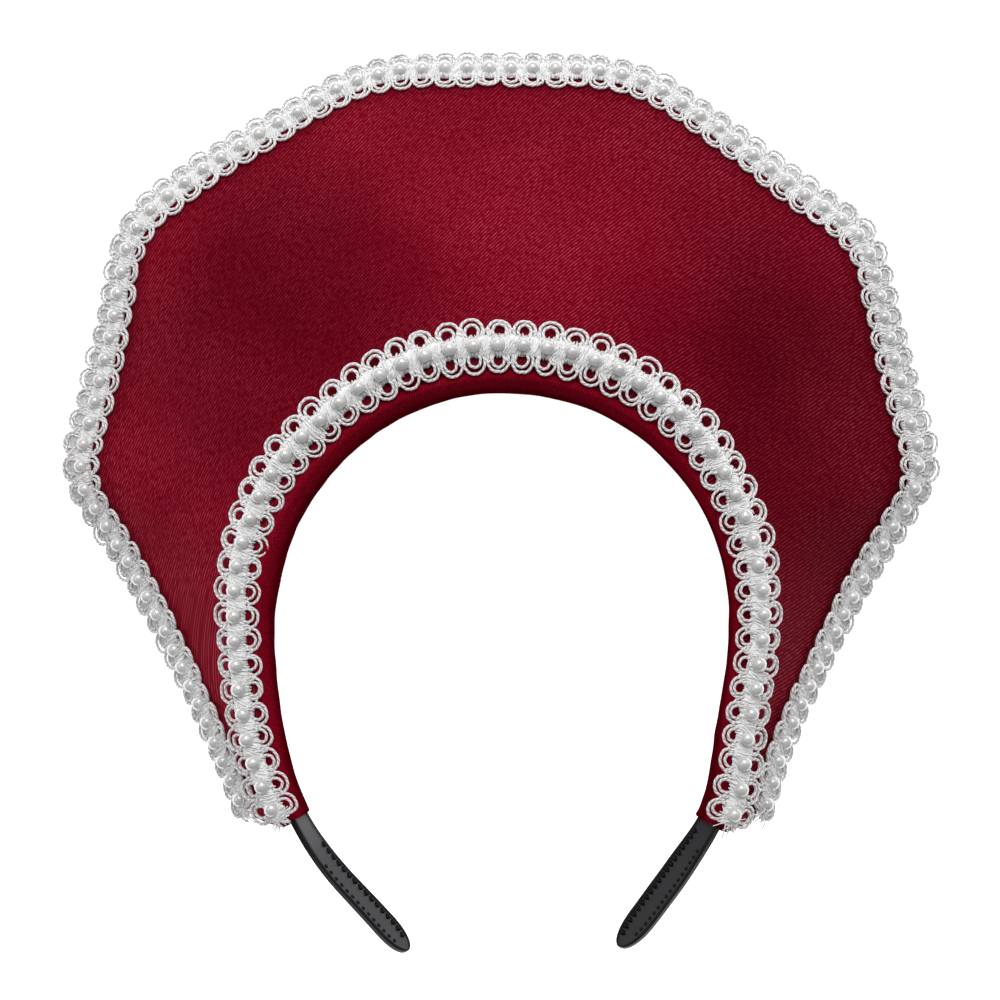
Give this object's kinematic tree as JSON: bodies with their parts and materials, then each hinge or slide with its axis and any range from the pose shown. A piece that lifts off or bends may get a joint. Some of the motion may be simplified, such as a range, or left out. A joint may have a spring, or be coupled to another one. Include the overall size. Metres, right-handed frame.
{
  "type": "crown headband",
  "caption": "Flared satin crown on a covered plastic headband, edged outside and round the face with pearl loop braid, lying on its back.",
  "frame": {"origin": "under the middle of the headpiece's box, on the surface that it lies on", "axes": "+X to the right as seen from the front, +Y from the tips to the crown's top, +Z out of its front"},
  "size_m": [0.252, 0.2462, 0.0639],
  "materials": {
    "satin": "deep red satin with a fine twill and a soft sheen",
    "plastic": "glossy black",
    "braid": "white cord loops with pearly beads"
  },
  "bodies": {
    "root": {"crown_panel": "satin", "band_cover": "satin", "headband": "plastic", "arch_trim": "braid", "edge_trim": "braid"}
  },
  "joints": []
}
